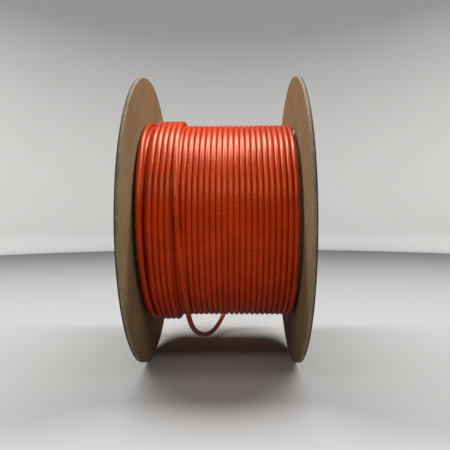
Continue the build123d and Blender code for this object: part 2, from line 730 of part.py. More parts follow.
def make_boot(seat, end):
    """The tapered strain relief, slotted so that it bends with the cord."""
    with BuildPart() as boot:
        with BuildSketch(seat.offset(BOOT_FRONT)):
            Circle(BOOT_FRONT_RADIUS)
        extrude(amount=-BOOT_SEAT_DEPTH)
        with BuildSketch(seat.offset(BOOT_FRONT - BOOT_SEAT_DEPTH)):
            Circle(BOOT_FRONT_RADIUS)
        with BuildSketch(seat.offset(BOOT_REAR)):
            Circle(BOOT_REAR_RADIUS)
        loft()
        with BuildSketch(seat.offset(BOOT_FRONT)):
            Circle(BOOT_SEAT_RADIUS)
        extrude(amount=-BOOT_SEAT_DEPTH, mode=Mode.SUBTRACT)
        with BuildSketch(seat.offset(BOOT_FRONT)):
            Circle(BOOT_BORE_RADIUS)
        extrude(amount=BOOT_REAR - BOOT_FRONT, mode=Mode.SUBTRACT)
        # Slots from alternate sides leave a spine at each side in turn.
        for slot in range(BOOT_SLOT_COUNT):
            centre = BOOT_FRONT - BOOT_SEAT_DEPTH - BOOT_SLOT_PITCH * (slot + BOOT_SLOT_OFFSET)
            side = 1 if slot % 2 else -1
            with BuildSketch(seat.offset(centre)):
                with Locations((0, side * BOOT_FRONT_RADIUS)):
                    Rectangle(2 * BOOT_FRONT_RADIUS, 2 * (BOOT_FRONT_RADIUS - BOOT_SPINE))
            extrude(amount=-BOOT_SLOT_WIDTH, mode=Mode.SUBTRACT)
    save(boot.part, f"{end}_boot")


def make_dust_cap(seat, end):
    """The pull-off cap that covers the ferrule inside the frame's mouth."""
    with BuildPart() as cap:
        with BuildSketch(seat.offset(-CAP_INSERT)):
            Circle(CAP_RADIUS)
        extrude(amount=CAP_LENGTH)
        with BuildSketch(seat.offset(CAP_LENGTH - CAP_INSERT)):
            Circle(CAP_HEAD_RADIUS)
        extrude(amount=-CAP_HEAD_LENGTH)
        for rib in range(CAP_RIB_COUNT):
            with BuildSketch(seat.offset(CAP_RIB_START + rib * CAP_RIB_PITCH)):
                Circle(CAP_RADIUS + CAP_RIB_HEIGHT)
            extrude(amount=CAP_RIB_WIDTH)
        with BuildSketch(seat.offset(-CAP_INSERT)):
            Circle(CAP_BORE_RADIUS)
        extrude(amount=CAP_INSERT + FERRULE_TIP + CAP_TIP_ROOM, mode=Mode.SUBTRACT)
        chamfer(cap.faces().sort_by(Axis(seat.origin, seat.z_dir))[-1].edges(), CAP_CHAMFER)
    save(cap.part, f"{end}_dust_cap")


def make_plug(seat, end):
    """One whole plug and what the cord holds inside it."""
    make_cord_core(seat, end)
    make_ferrule(seat, end)
    make_ferrule_holder(seat, end)
    make_ferrule_spring(seat, end)
    make_plug_frame(seat, end)
    make_grip(seat, end)
    make_stop_body(seat, end)
    make_crimp_ring(seat, end)
    make_boot(seat, end)
    make_dust_cap(seat, end)


# ================================================================ tape over the lead end
def make_lead_tape():
    """A strip of paper tape, arched over the lead end, that holds it to the left flange."""
    run = Vector(0, *LEAD_TAPE_RUN).normalized()
    outward = Vector(-1, 0, 0)
    face = Plane(
        origin=Vector(-(REEL_HALF_WIDTH + TAPE_LIFT), *LEAD_TAPE_CENTRE) - run * (TAPE_WIDTH / 2),
        x_dir=outward.cross(run),
        z_dir=run,
    )
    arch = LEAD_OUTSIDE_GAP + CORD_DIAMETER + TAPE_GAP
    half_top = CORD_DIAMETER / 2
    half_base = half_top + TAPE_SHOULDER
    profile = [
        (-half_base - TAPE_FOOT, 0),
        (-half_base, 0),
        (-half_top, arch),
        (half_top, arch),
        (half_base, 0),
        (half_base + TAPE_FOOT, 0),
    ]
    outside = [(x, y + TAPE_THICKNESS * (2 if y > 0 else 1)) for x, y in reversed(profile)]
    with BuildPart() as tape:
        with BuildSketch(face):
            with BuildLine():
                Polyline(*profile, *outside, close=True)
            make_face()
        extrude(amount=TAPE_WIDTH)
    save(tape.part, "lead_tape")


make_flange(-1, "left_flange")
make_flange(1, "right_flange")
make_core_tube()
make_end_plug(-1, "left_end_plug")
make_end_plug(1, "right_end_plug")
make_rod_set()
make_cord()
make_plug(OUTER_SEAT, "outer")
make_plug(LEAD_SEAT, "lead")
make_lead_tape()
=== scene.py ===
import json
import math

import bmesh
import bpy
import numpy as np
from mathutils import Matrix, Vector, noise
from mathutils.geometry import delaunay_2d_cdt


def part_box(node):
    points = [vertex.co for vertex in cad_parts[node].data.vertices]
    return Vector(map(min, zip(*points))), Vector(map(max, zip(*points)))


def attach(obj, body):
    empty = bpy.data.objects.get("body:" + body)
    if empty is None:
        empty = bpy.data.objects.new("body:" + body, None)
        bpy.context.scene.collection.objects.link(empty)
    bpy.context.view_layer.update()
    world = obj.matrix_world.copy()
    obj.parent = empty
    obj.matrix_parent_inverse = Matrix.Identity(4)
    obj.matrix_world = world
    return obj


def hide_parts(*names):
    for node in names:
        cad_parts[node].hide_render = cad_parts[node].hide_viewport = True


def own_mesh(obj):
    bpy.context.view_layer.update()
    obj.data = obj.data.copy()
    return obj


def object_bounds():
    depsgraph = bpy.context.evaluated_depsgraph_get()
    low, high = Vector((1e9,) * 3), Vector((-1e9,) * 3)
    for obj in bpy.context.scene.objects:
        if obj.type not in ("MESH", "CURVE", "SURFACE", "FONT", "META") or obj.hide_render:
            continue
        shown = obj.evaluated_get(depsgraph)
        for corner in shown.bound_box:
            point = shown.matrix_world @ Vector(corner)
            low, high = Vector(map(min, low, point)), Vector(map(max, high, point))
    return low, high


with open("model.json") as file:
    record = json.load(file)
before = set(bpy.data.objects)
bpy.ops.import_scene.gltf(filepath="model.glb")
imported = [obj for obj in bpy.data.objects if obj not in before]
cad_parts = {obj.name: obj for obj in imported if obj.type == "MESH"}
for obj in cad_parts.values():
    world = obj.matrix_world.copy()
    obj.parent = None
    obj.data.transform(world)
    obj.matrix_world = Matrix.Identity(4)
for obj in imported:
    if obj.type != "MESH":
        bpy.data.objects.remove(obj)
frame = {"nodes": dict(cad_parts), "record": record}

# The looks of a fiber optic patch cord on its fibreboard reel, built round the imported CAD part.
# The scene is in metres; MM turns a size in millimetres into one.
MM = 0.001
RECORD = frame["record"]
NODES = frame["nodes"]
SLOTS = {row["node"]: row["material_slot"] for row in RECORD["subparts"]}
ENDS = ("outer", "lead")
cad_low, cad_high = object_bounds()
FLOOR_Z = cad_low.z
REEL_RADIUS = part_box("right_flange")[1].z
REEL_MIDDLE = Vector((0.0, 0.0, 0.0))  # the frame's origin lies on the reel's axis

# How the cord lies, for its printed marks, in millimetres.
TURN_PITCH = 2.93
TURN_X = 38.5  # centre of one turn of the full layer
TURN_RADIUS = 54.4  # from the reel's axis to the middle of the full layer's cord
TOP_LAYER_FROM = 55.95  # distance from the axis beyond which a surface belongs to the part-wound layer

# The marks: their spacing and width along the cord, and how far the next turn's are shifted.
MARK_GAP = 2.7
MARK_WIDTH = 0.36
MARK_RISE = 0.45
MARK_SHARE = 0.55  # of the marks are printed, the rest are worn away
MARK_REACH = 0.36  # of a turn's pitch, to either side of its middle
MARK_PATCH = 16.0  # size of the patches in which the marks show


# ---------------------------------------------------------------- materials
class Look:
    """One procedural material, built node by node on a Principled surface."""

    def __init__(self, name, **settings):
        self.material = bpy.data.materials.new(name)
        self.material.use_nodes = True
        self.tree = self.material.node_tree
        self.surface = self.tree.nodes["Principled BSDF"]
        self.place = self.node("ShaderNodeTexCoord").outputs["Object"]
        for key, value in settings.items():
            self.feed(self.surface, key.replace("_", " "), value)

    def feed(self, node, key, value):
        socket = node.inputs[key]
        if isinstance(value, bpy.types.NodeSocket):
            self.tree.links.new(value, socket)
        elif socket.type == "RGBA":
            socket.default_value = (*value, 1.0)
        else:
            socket.default_value = value

    def node(self, kind, inputs=None, **settings):
        node = self.tree.nodes.new(kind)
        for key, value in settings.items():
            setattr(node, key, value)
        for key, value in (inputs or {}).items():
            self.feed(node, key, value)
        return node

    def math(self, operation, first, second=0.0):
        return self.node("ShaderNodeMath", {0: first, 1: second}, operation=operation).outputs[0]

    def noise(self, size, detail=3.0, roughness=0.55, stretch=(1.0, 1.0, 1.0)):
        """Fractal noise with features of a size in millimetres, longer along a stretched axis."""
        scale = [1 / (MM * size * share) for share in stretch]
        place = self.node("ShaderNodeVectorMath", {0: self.place, 1: scale}, operation="MULTIPLY")
        inputs = {"Vector": place.outputs[0], "Scale": 1.0, "Detail": detail, "Roughness": roughness}
        return self.node("ShaderNodeTexNoise", inputs).outputs["Fac"]

    def specks(self, size, stretch=(1.0, 1.0, 1.0)):
        """Distance to the nearest of many scattered points, in cells of a size in millimetres."""
        scale = [1 / (MM * size * share) for share in stretch]
        place = self.node("ShaderNodeVectorMath", {0: self.place, 1: scale}, operation="MULTIPLY")
        inputs = {"Vector": place.outputs[0], "Scale": 1.0}
        return self.node("ShaderNodeTexVoronoi", inputs).outputs["Distance"]

    def remap(self, value, low, high, start=0.0, end=1.0):
        inputs = {"Value": value, "From Min": low, "From Max": high, "To Min": start, "To Max": end}
        return self.node("ShaderNodeMapRange", inputs).outputs["Result"]

    def blend(self, share, first, second):
        mix = self.node("ShaderNodeMix", data_type="RGBA")
        self.feed(mix, 0, share)
        self.feed(mix, 6, first)
        self.feed(mix, 7, second)
        return mix.outputs[2]

    def done(self, colour, roughness, height=None, depth=0.0):
        """Colour, roughness and a relief whose full height is a depth in millimetres."""
        self.feed(self.surface, "Base Color", colour)
        self.feed(self.surface, "Roughness", roughness)
        if height is not None:
            inputs = {"Height": height, "Distance": depth * MM, "Strength": 1.0}
            bump = self.node("ShaderNodeBump", inputs)
            self.feed(self.surface, "Normal", bump.outputs["Normal"])
        return self.material


def print_marks(look):
    """A share that is 1 on short slanted bars across the turns: a generic length marking, no lettering."""
    parts = look.node("ShaderNodeSeparateXYZ", {0: look.place})
    x, y, z = [look.math("DIVIDE", parts.outputs[axis], MM) for axis in range(3)]
    radius = look.math("SQRT", look.math("ADD", look.math("MULTIPLY", y, y), look.math("MULTIPLY", z, z)))
    angle = look.math("ARCTAN2", look.math("MULTIPLY", z, -1.0), look.math("MULTIPLY", y, -1.0))
    half_step = look.math("MULTIPLY", look.math("GREATER_THAN", radius, TOP_LAYER_FROM), 0.5)
    lane = look.math("DIVIDE", look.math("SUBTRACT", x, TURN_X - TURN_PITCH / 2), TURN_PITCH)
    lane = look.math("ADD", lane, half_step)
    across = look.math("ABSOLUTE", look.math("SUBTRACT", look.math("FRACT", lane), 0.5))
    rise = look.math("MULTIPLY", lane, MARK_RISE)
    along = look.math("ADD", look.math("MULTIPLY", angle, TURN_RADIUS), rise)
    place = look.math("DIVIDE", along, MARK_GAP)
    in_bar = look.math("LESS_THAN", look.math("FRACT", place), MARK_WIDTH / MARK_GAP)
    number = look.math("FLOOR", place)
    chance = look.node("ShaderNodeTexWhiteNoise", {"W": number}, noise_dimensions="1D").outputs["Value"]
    kept = look.math("LESS_THAN", chance, MARK_SHARE)
    narrow = look.math("LESS_THAN", across, MARK_REACH)
    marks = look.remap(look.noise(MARK_PATCH, 2), 0.46, 0.53)
    for share in (in_bar, kept, narrow):
        marks = look.math("MULTIPLY", marks, share)
    return marks


def jacket_look():
    look = Look("jacket_pvc", Specular_Tint=(1.0, 0.6, 0.26), Specular_IOR_Level=0.8)
    cloud = look.noise(14, 4)
    base = look.blend(look.remap(cloud, 0.35, 0.65), (0.52, 0.030, 0.002), (0.64, 0.044, 0.003))
    base = look.blend(look.remap(look.noise(2.2, 5), 0.62, 0.8, 0.0, 0.35), base, (0.62, 0.055, 0.008))
    marks = print_marks(look)
    colour = look.blend(look.math("MULTIPLY", marks, 0.65), base, (0.10, 0.008, 0.003))
    roughness = look.remap(look.noise(1.6, 4), 0.3, 0.7, 0.29, 0.40)
    skin = look.math("ADD", look.noise(0.7, 3), look.math("MULTIPLY", look.noise(6, 2), 1.5))
    skin = look.math("SUBTRACT", skin, look.math("MULTIPLY", marks, 0.7))
    return look.done(colour, roughness, skin, 0.03)


def fibreboard_look(name, dark, light, grain):
    look = Look(name, Specular_IOR_Level=0.25)
    cloud = look.noise(22, 4)
    base = look.blend(look.remap(cloud, 0.3, 0.7), dark, light)
    fibres = look.noise(1.1, 6, 0.7, stretch=(1, 3.2, 1))
    cross_fibres = look.noise(0.9, 5, 0.7, stretch=(1, 1, 2.8))
    weave = look.math("MULTIPLY", look.math("ADD", fibres, cross_fibres), 0.5)
    pale = [min(1.0, value * 1.5 + 0.02) for value in light]
    deep = [value * 0.55 for value in dark]
    base = look.blend(look.remap(weave, 0.5, 0.68, 0.0, grain), base, pale)
    base = look.blend(look.remap(weave, 0.47, 0.34, 0.0, grain), base, deep)
    specks = look.remap(look.specks(3.1), 0.16, 0.05, 0.0, 0.45)
    colour = look.blend(specks, base, deep)
    return look.done(colour, look.remap(weave, 0.3, 0.7, 0.72, 0.95), weave, 0.12)


def paper_tube_look():
    look = Look("paper_tube_kraft", Specular_IOR_Level=0.25)
    parts = look.node("ShaderNodeSeparateXYZ", {0: look.place})
    x, y, z = [look.math("DIVIDE", parts.outputs[axis], MM) for axis in range(3)]
    angle = look.math("ARCTAN2", z, y)
    ply_width = 38.0
    spiral = look.math("FRACT", look.math("ADD", look.math("DIVIDE", x, ply_width),
                                          look.math("DIVIDE", angle, 2 * math.pi)))
    seam = look.remap(look.math("ABSOLUTE", look.math("SUBTRACT", spiral, 0.5)), 0.02, 0.0)
    fibres = look.noise(1.3, 5, 0.65, stretch=(3, 1, 1))
    base = look.blend(look.remap(fibres, 0.35, 0.65), (0.26, 0.17, 0.09), (0.42, 0.30, 0.18))
    colour = look.blend(look.math("MULTIPLY", seam, 0.7), base, (0.12, 0.08, 0.045))
    height = look.math("SUBTRACT", fibres, look.math("MULTIPLY", seam, 1.4))
    return look.done(colour, 0.88, height, 0.12)


def hardboard_look():
    look = Look("hardboard_plug", Specular_IOR_Level=0.3)
    grain = look.noise(1.8, 6, 0.7, stretch=(1, 1, 7))
    base = look.blend(look.remap(grain, 0.35, 0.65), (0.16, 0.085, 0.04), (0.33, 0.20, 0.10))
    colour = look.blend(look.remap(look.specks(2.2), 0.2, 0.06, 0.0, 0.5), base, (0.07, 0.035, 0.017))
    return look.done(colour, look.remap(grain, 0.3, 0.7, 0.55, 0.8), grain, 0.1)


def metal_look(name, colour, low, high, brush=(1.0, 1.0, 1.0)):
    """Plated or drawn metal, with fine brushing along one axis and cloudy wear."""
    look = Look(name, Metallic=1.0)
    cloud = look.noise(3.5, 4)
    scratches = look.noise(0.5, 4, 0.7, stretch=brush)
    worn = [value * 0.72 for value in colour]
    base = look.blend(look.remap(cloud, 0.4, 0.75, 0.0, 0.8), colour, worn)
    return look.done(base, look.remap(scratches, 0.3, 0.7, low, high), scratches, 0.012)


def plastic_look(name, colour, low, high, sheen_size, clear=0.0):
    """Moulded plastic with a fine spark-eroded texture and faint uneven colour."""
    look = Look(name, Subsurface_Weight=0.12, Subsurface_Scale=0.0012, Transmission_Weight=clear)
    look.feed(look.surface, "Subsurface Radius", (1.0, 0.7, 0.4))
    cloud = look.noise(5, 4)
    deeper = [value * 0.82 for value in colour]
    base = look.blend(look.remap(cloud, 0.3, 0.7), deeper, colour)
    grime = look.remap(look.noise(1.4, 6, 0.7), 0.58, 0.75, 0.0, 0.3)
    base = look.blend(grime, base, [value * 0.5 for value in colour])
    texture = look.noise(sheen_size, 3)
    return look.done(base, look.remap(texture, 0.3, 0.7, low, high), texture, 0.02)


def yarn_look():
    look = Look("aramid_filaments", Sheen_Weight=0.4)
    strands = look.noise(0.22, 3, 0.6, stretch=(1, 1, 30))
    colour = look.blend(look.remap(strands, 0.35, 0.65), (0.42, 0.28, 0.03), (0.85, 0.66, 0.16))
    return look.done(colour, 0.55, strands, 0.08)


def ceramic_look():
    look = Look("zirconia", Coat_Weight=0.6, Coat_Roughness=0.04)
    cloud = look.noise(0.9, 4)
    colour = look.blend(look.remap(cloud, 0.3, 0.7), (0.80, 0.79, 0.75), (0.9, 0.89, 0.86))
    return look.done(colour, look.remap(look.noise(0.3, 4), 0.3, 0.7, 0.06, 0.16), cloud, 0.004)


def glass_look():
    look = Look("silica", Transmission_Weight=0.9, IOR=1.46)
    cloud = look.noise(0.4, 3)
    colour = look.blend(cloud, (0.85, 0.92, 0.95), (0.97, 0.99, 1.0))
    return look.done(colour, look.remap(cloud, 0.3, 0.7, 0.01, 0.05), cloud, 0.001)


def paper_tape_look():
    look = Look("kraft_tape", Specular_IOR_Level=0.35)
    fibres = look.noise(0.9, 6, 0.7, stretch=(1, 2.5, 1))
    creases = look.noise(6, 3, 0.5)
    base = look.blend(look.remap(fibres, 0.35, 0.65), (0.45, 0.31, 0.17), (0.66, 0.49, 0.30))
    colour = look.blend(look.remap(creases, 0.55, 0.75, 0.0, 0.3), base, (0.32, 0.21, 0.11))
    height = look.math("ADD", look.math("MULTIPLY", fibres, 0.3), creases)
    return look.done(colour, look.remap(fibres, 0.3, 0.7, 0.55, 0.75), height, 0.25)


def stage_look(name, colour, glow):
    look = Look(name, Specular_IOR_Level=0.2, Emission_Color=colour, Emission_Strength=glow)
    cloud = look.noise(60, 3)
    darker = [value * 0.96 for value in colour]
    return look.done(look.blend(cloud, darker, colour), 0.7)


LOOKS = {
    "jacket": jacket_look(),
    "fibreboard": fibreboard_look("kraft_fibreboard", (0.225, 0.150, 0.070), (0.31, 0.212, 0.102), 0.4),
    "paper_tube": paper_tube_look(),
    "hardboard": hardboard_look(),
    "paper_tape": paper_tape_look(),
    "zinc_steel": metal_look("zinc_plate", (0.62, 0.64, 0.66), 0.22, 0.42),
    "aramid": yarn_look(),
    "buffer": plastic_look("fiber_buffer_coat", (0.62, 0.16, 0.03), 0.25, 0.4, 0.3),
    "glass": glass_look(),
    "ceramic": ceramic_look(),
    "nickel": metal_look("nickel_plate", (0.66, 0.62, 0.55), 0.18, 0.36, brush=(1, 1, 0.25)),
    "spring_steel": metal_look("spring_wire", (0.5, 0.5, 0.52), 0.2, 0.34),
    "plug_plastic": plastic_look("beige_moulding", (0.68, 0.56, 0.35), 0.38, 0.55, 0.35),
    "boot_rubber": plastic_look("boot_moulding", (0.66, 0.58, 0.42), 0.5, 0.7, 0.3),
    "cap_plastic": plastic_look("cap_moulding", (0.82, 0.84, 0.84), 0.25, 0.4, 0.4, clear=0.35),
}
RIM_PALE = fibreboard_look("board_core_edge", (0.17, 0.132, 0.080), (0.30, 0.235, 0.15), 0.6)
RIM_DARK = fibreboard_look("board_liner_edge", (0.055, 0.040, 0.025), (0.10, 0.073, 0.047), 0.5)


# ---------------------------------------------------------------- meshes
def new_piece(name, points, faces, slot, stands_for, body, materials=None, smooth_below=35.0):
    """A mesh piece in the row frame that rides on a body and stands for CAD nodes."""
    mesh = bpy.data.meshes.new(name)
    mesh.from_pydata([tuple(point) for point in points], [], faces)
    mesh.validate()
    for material in materials or [LOOKS[slot]]:
        mesh.materials.append(material)
    finish_normals(mesh, smooth_below)
    return add_piece(name, mesh, slot, stands_for, body)


def add_piece(name, mesh, slot, stands_for, body):
    """Puts a finished mesh into the scene as a piece of the visual model."""
    piece = bpy.data.objects.new(name, mesh)
    bpy.context.scene.collection.objects.link(piece)
    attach(piece, body)
    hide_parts(*stands_for)
    return piece


def finish_normals(mesh, smooth_below):
    """Faces point outwards, and edges sharper than the angle stay crisp."""
    work = bmesh.new()
    work.from_mesh(mesh)
    bmesh.ops.recalc_face_normals(work, faces=work.faces)
    work.to_mesh(mesh)
    work.free()
    mesh.polygons.foreach_set("use_smooth", [True] * len(mesh.polygons))
    mesh.set_sharp_from_angle(angle=math.radians(smooth_below))


def full_circle(count):
    """Evenly spaced angles, once round."""
    return [2 * math.pi * i / count for i in range(count)]


def band(first, second, count):
    """Quads between two rings of points, given each ring's first index."""
    quads = []
    for i in range(count):
        j = (i + 1) % count
        quads.append((first + i, first + j, second + j, second + i))
    return quads


def ring_mesh(rings, wrap):
    """Faces that skin a list of rings; wrap joins the last to the first, otherwise both ends are capped."""
    count = len(rings[0])
    points = [point for ring in rings for point in ring]
    faces = []
    for i in range(len(rings) - 1):
        faces += band(i * count, (i + 1) * count, count)
    last = (len(rings) - 1) * count
    if wrap:
        faces += band(last, 0, count)
    else:
        faces.append(tuple(range(count)))
        faces.append(tuple(range(last, last + count)))
    return points, faces


def joined(meshes):
    """One list of points and one of faces from several."""
    points, faces = [], []
    for some_points, some_faces in meshes:
        base = len(points)
        points += some_points
        faces += [tuple(base + i for i in face) for face in some_faces]
    return points, faces


def welded(node):
    """A CAD node's mesh with its face borders joined again."""
    work = bmesh.new()
    work.from_mesh(NODES[node].data)
    bmesh.ops.remove_doubles(work, verts=work.verts, dist=0.002 * MM)
    return work


def plain_faces(node):
    """A CAD node's welded mesh with the facets of each flat face merged into one."""
    work = welded(node)
    bmesh.ops.dissolve_limit(
        work,
        angle_limit=math.radians(1.0),
        verts=work.verts,
        edges=work.edges,
        use_dissolve_boundaries=False,
    )
    return work


def solid_boxes(node):
    """(lowest corner, highest corner) of every separate solid of a CAD node."""
    work = welded(node)
    boxes, seen = [], set()
    for start in work.verts:
        if start in seen:
            continue
        seen.add(start)
        island, edge = [start], [start]
        while edge:
            for link in edge.pop().link_edges:
                for vert in link.verts:
                    if vert not in seen:
                        seen.add(vert)
                        island.append(vert)
                        edge.append(vert)
        co = np.array([vert.co for vert in island])
        boxes.append((Vector(co.min(0)), Vector(co.max(0))))
    work.free()
    return boxes


def face_outlines(node, side):
    """The closed outlines of a CAD disc's flat face, as lists of (y, z), the rim first."""
    work = welded(node)
    flat = {face for face in work.faces if face.normal.x * side > 0.99}
    borders = [edge for edge in work.edges if len(flat.intersection(edge.link_faces)) == 1]
    neighbours = {}
    for edge in borders:
        for here, there in (edge.verts, reversed(edge.verts)):
            neighbours.setdefault(here, []).append(there)
    outlines = []
    while neighbours:
        here = next(iter(neighbours))
        outline = []
        while here is not None:
            outline.append((here.co.y, here.co.z))
            onward = [vert for vert in neighbours.pop(here) if vert in neighbours]
            here = onward[0] if onward else None
        outlines.append(outline)
    work.free()
    return sorted(outlines, key=lambda outline: -max(math.hypot(*point) for point in outline))


ROUND_TO = 0.1 * MM  # an outline whose distance from its middle varies less than this is a circle


def rounded(outline, count=72):
    """A true circle in place of a faceted one; any other outline stays as it is."""
    middle = np.mean(outline, axis=0)
    reach = np.hypot(*(np.array(outline) - middle).T)
    if np.ptp(reach) > ROUND_TO:
        return outline
    return [
        tuple(middle + reach.mean() * np.array([math.cos(turn), math.sin(turn)]))
        for turn in np.linspace(0, 2 * math.pi, count, endpoint=False)
    ]


def inside(outline, spot):
    """Whether a spot lies in a closed outline, by counting the sides that a line from it crosses."""
    crossings = 0
    for here, there in zip(outline, outline[1:] + outline[:1]):
        if (here.y > spot.y) != (there.y > spot.y):
            reach = here.x + (spot.y - here.y) / (there.y - here.y) * (there.x - here.x)
            crossings += reach > spot.x
    return crossings % 2 == 1


def filled(outlines):
    """Triangles between a rim and its holes, as corner numbers counted through all the outlines."""
    outlines = [[corner / MM for corner in outline] for outline in outlines]
    edges, start = [], 0
    for outline in outlines:
        edges += [(start + i, start + (i + 1) % len(outline)) for i in range(len(outline))]
        start += len(outline)
    corners = [corner for outline in outlines for corner in outline]
    inside_constraints = 1
    spots, _, triangles, sources, _, _ = delaunay_2d_cdt(corners, edges, [], inside_constraints, 1e-5)
    kept = []
    for triangle in triangles:
        middle = sum((spots[corner] for corner in triangle), Vector((0, 0))) / 3
        if not any(inside(hole, middle) for hole in outlines[1:]):
            kept.append(tuple(sources[corner][0] for corner in triangle))
    return kept


# ---------------------------------------------------------------- reel
# Share of the board's thickness from its outer face, how far the cut edge is set in there and how
# ragged it is, in millimetres. The groove at 0.40 is the glue line between the liner and the core.
RIM_STATIONS = (
    (0.00, 0.34, 0.16),
    (0.05, 0.12, 0.18),
    (0.18, 0.02, 0.22),
    (0.34, 0.03, 0.22),
    (0.40, 0.22, 0.22),
    (0.46, 0.05, 0.34),
    (0.62, 0.00, 0.42),
    (0.78, 0.01, 0.42),
    (0.93, 0.07, 0.36),
    (1.00, 0.28, 0.24),
)
GLUE_LINE = 0.40
GLUE_REACH = 0.1  # the stations this near to the glue line wander with it
GLUE_WANDER = 0.16  # how far they wander, as a share of the thickness
RIM_POINTS = 1200

# Places in a flange's list of materials.
BOARD_FACE, CORE_EDGE, LINER_EDGE = 0, 1, 2


def ragged(turn, layer):
    """0 to 1 along the cut edge, coarse waves with fine fibres, different in each layer."""
    spot = Vector((math.cos(turn), math.sin(turn), layer * 3.7)) * REEL_RADIUS / MM
    coarse = noise.noise(spot / 7.0)
    fine = noise.noise(spot / 1.3 + Vector((9.0, 2.0, 5.0)))
    return min(1.0, max(0.0, 0.5 + 0.45 * coarse + 0.4 * fine))


def build_flange(node, side):
    """A fibreboard disc of a pale core and a darker outer liner, with a ragged cut edge."""
    low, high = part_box(node)
    outer_x, inner_x = (low.x, high.x) if side < 0 else (high.x, low.x)
    turns = full_circle(RIM_POINTS)
    rings, layers = [], []
    for share, inset, rag in RIM_STATIONS:
        layer = 0 if share < GLUE_LINE else 1
        near_glue = abs(share - GLUE_LINE) < GLUE_REACH
        ring = []
        for turn in turns:
            wander = GLUE_WANDER * (ragged(turn, 9 + side) - 0.5) if near_glue else 0.0
            x = outer_x + (inner_x - outer_x) * (share + wander)
            reach = REEL_RADIUS - (inset + rag * ragged(turn, layer + 2 * side)) * MM
            ring.append(Vector((x, reach * math.cos(turn), max(FLOOR_Z, reach * math.sin(turn)))))
        rings.append(ring)
        layers.append(layer)
    points = [point for ring in rings for point in ring]
    faces, face_layers = [], []
    for i in range(len(rings) - 1):
        quads = band(i * RIM_POINTS, (i + 1) * RIM_POINTS, RIM_POINTS)
        faces += quads
        face_layers += [CORE_EDGE if layers[i + 1] else LINER_EDGE] * len(quads)
    holes = [rounded(outline) for outline in face_outlines(node, side)[1:]]
    for x, rim_start in ((outer_x, 0), (inner_x, (len(rings) - 1) * RIM_POINTS)):
        index = list(range(rim_start, rim_start + RIM_POINTS))
        outlines = [[Vector((point.y, point.z)) for point in points[rim_start : rim_start + RIM_POINTS]]]
        for hole in holes:
            index += range(len(points), len(points) + len(hole))
            points += [Vector((x, y, z)) for y, z in hole]
            outlines.append([Vector(corner) for corner in hole])
        flat = [tuple(index[corner] for corner in triangle) for triangle in filled(outlines)]
        faces += flat
        face_layers += [BOARD_FACE] * len(flat)
    # The outer face's hole points come before the inner face's, in the same order.
    hole_total = sum(len(hole) for hole in holes)
    start = len(points) - 2 * hole_total
    for hole in holes:
        quads = band(start, start + hole_total, len(hole))
        faces += quads
        face_layers += [CORE_EDGE] * len(quads)
        start += len(hole)
    materials = [LOOKS["fibreboard"], RIM_PALE, RIM_DARK]
    piece = new_piece(f"{node}_board", points, faces, "fibreboard", [node], "reel", materials)
    piece.data.polygons.foreach_set("material_index", face_layers)


def circle_ring(x, centre, reach, turns):
    """Points round an axis along X; reach is a number or a function of the turn."""
    ring = []
    for turn in turns:
        distance = reach(turn) if callable(reach) else reach
        ring.append(Vector((x, centre.y + distance * math.cos(turn), centre.z + distance * math.sin(turn))))
    return ring


def nut_mesh(low, high):
    """A hex nut with chamfered corners and a countersunk bore."""
    turns = full_circle(96)
    bore = 2.05 * MM
    sink = 0.35 * MM
    slope = math.tan(math.radians(30))
    centre = (low + high) / 2
    size = high - low
    first_corner = 0.0 if size.y > size.z else math.pi / 6
    flat = min(size.y, size.z) / 2
    round_edge = 0.97 * flat

    def hexagon(turn):
        return flat / math.cos((turn - first_corner + math.pi / 3) % (math.pi / 3) - math.pi / 6)

    def drop(turn):
        return (hexagon(turn) - round_edge) * slope

    rings = [
        circle_ring(low.x, centre, bore + sink, turns),
        circle_ring(low.x + sink, centre, bore, turns),
        circle_ring(high.x - sink, centre, bore, turns),
        circle_ring(high.x, centre, bore + sink, turns),
        circle_ring(high.x, centre, round_edge, turns),
        circle_ring(high.x, centre, hexagon, turns),
        circle_ring(low.x, centre, hexagon, turns),
        circle_ring(low.x, centre, round_edge, turns),
    ]
    for high_point, low_point, turn in zip(rings[5], rings[6], turns):
        high_point.x -= drop(turn)
        low_point.x += drop(turn)
    return ring_mesh(rings, wrap=True)


def washer_mesh(low, high):
    """A punched washer: one edge rolled over, the other crisp."""
    turns = full_circle(64)
    bore = 2.2 * MM
    roll = 0.22 * MM
    roll_middle = 0.3 * roll
    centre = (low + high) / 2
    reach = (high.z - low.z) / 2
    out = 1 if centre.x > 0 else -1
    base, face = (low.x, high.x) if out > 0 else (high.x, low.x)
    profile = [
        (base, bore),
        (face - out * roll, bore),
        (face, bore + roll),
        (face, reach - roll),
        (face - out * roll_middle, reach - roll_middle),
        (face - out * roll, reach),
        (base, reach),
    ]
    return ring_mesh([circle_ring(x, centre, radius, turns) for x, radius in profile], wrap=True)


def rod_mesh(low, high):
    """A tie rod with a rolled thread at both ends."""
    turns = full_circle(36)
    thread_pitch = 0.7 * MM
    thread_depth = 0.36 * MM
    thread_length = 11.0 * MM
    ring_gap = 0.1 * MM
    point_length = 0.4 * MM
    centre = (low + high) / 2
    reach = (high.z - low.z) / 2
    stations = list(np.arange(low.x, low.x + thread_length, ring_gap))
    stations += list(np.arange(high.x, high.x - thread_length, -ring_gap))[::-1]
    rings = []
    for x in stations:
        end_gap = min(x - low.x, high.x - x)
        deep = thread_depth * min(1.0, (thread_length - end_gap) / thread_pitch)
        taper = max(0.0, point_length - end_gap)

        def radius(turn):
            wave = abs(((x / thread_pitch - turn / (2 * math.pi)) % 1.0) * 2 - 1)
            return min(reach - deep * (1 - wave), reach - taper)

        rings.append(circle_ring(x, centre, radius, turns))
    return ring_mesh(rings, wrap=False)


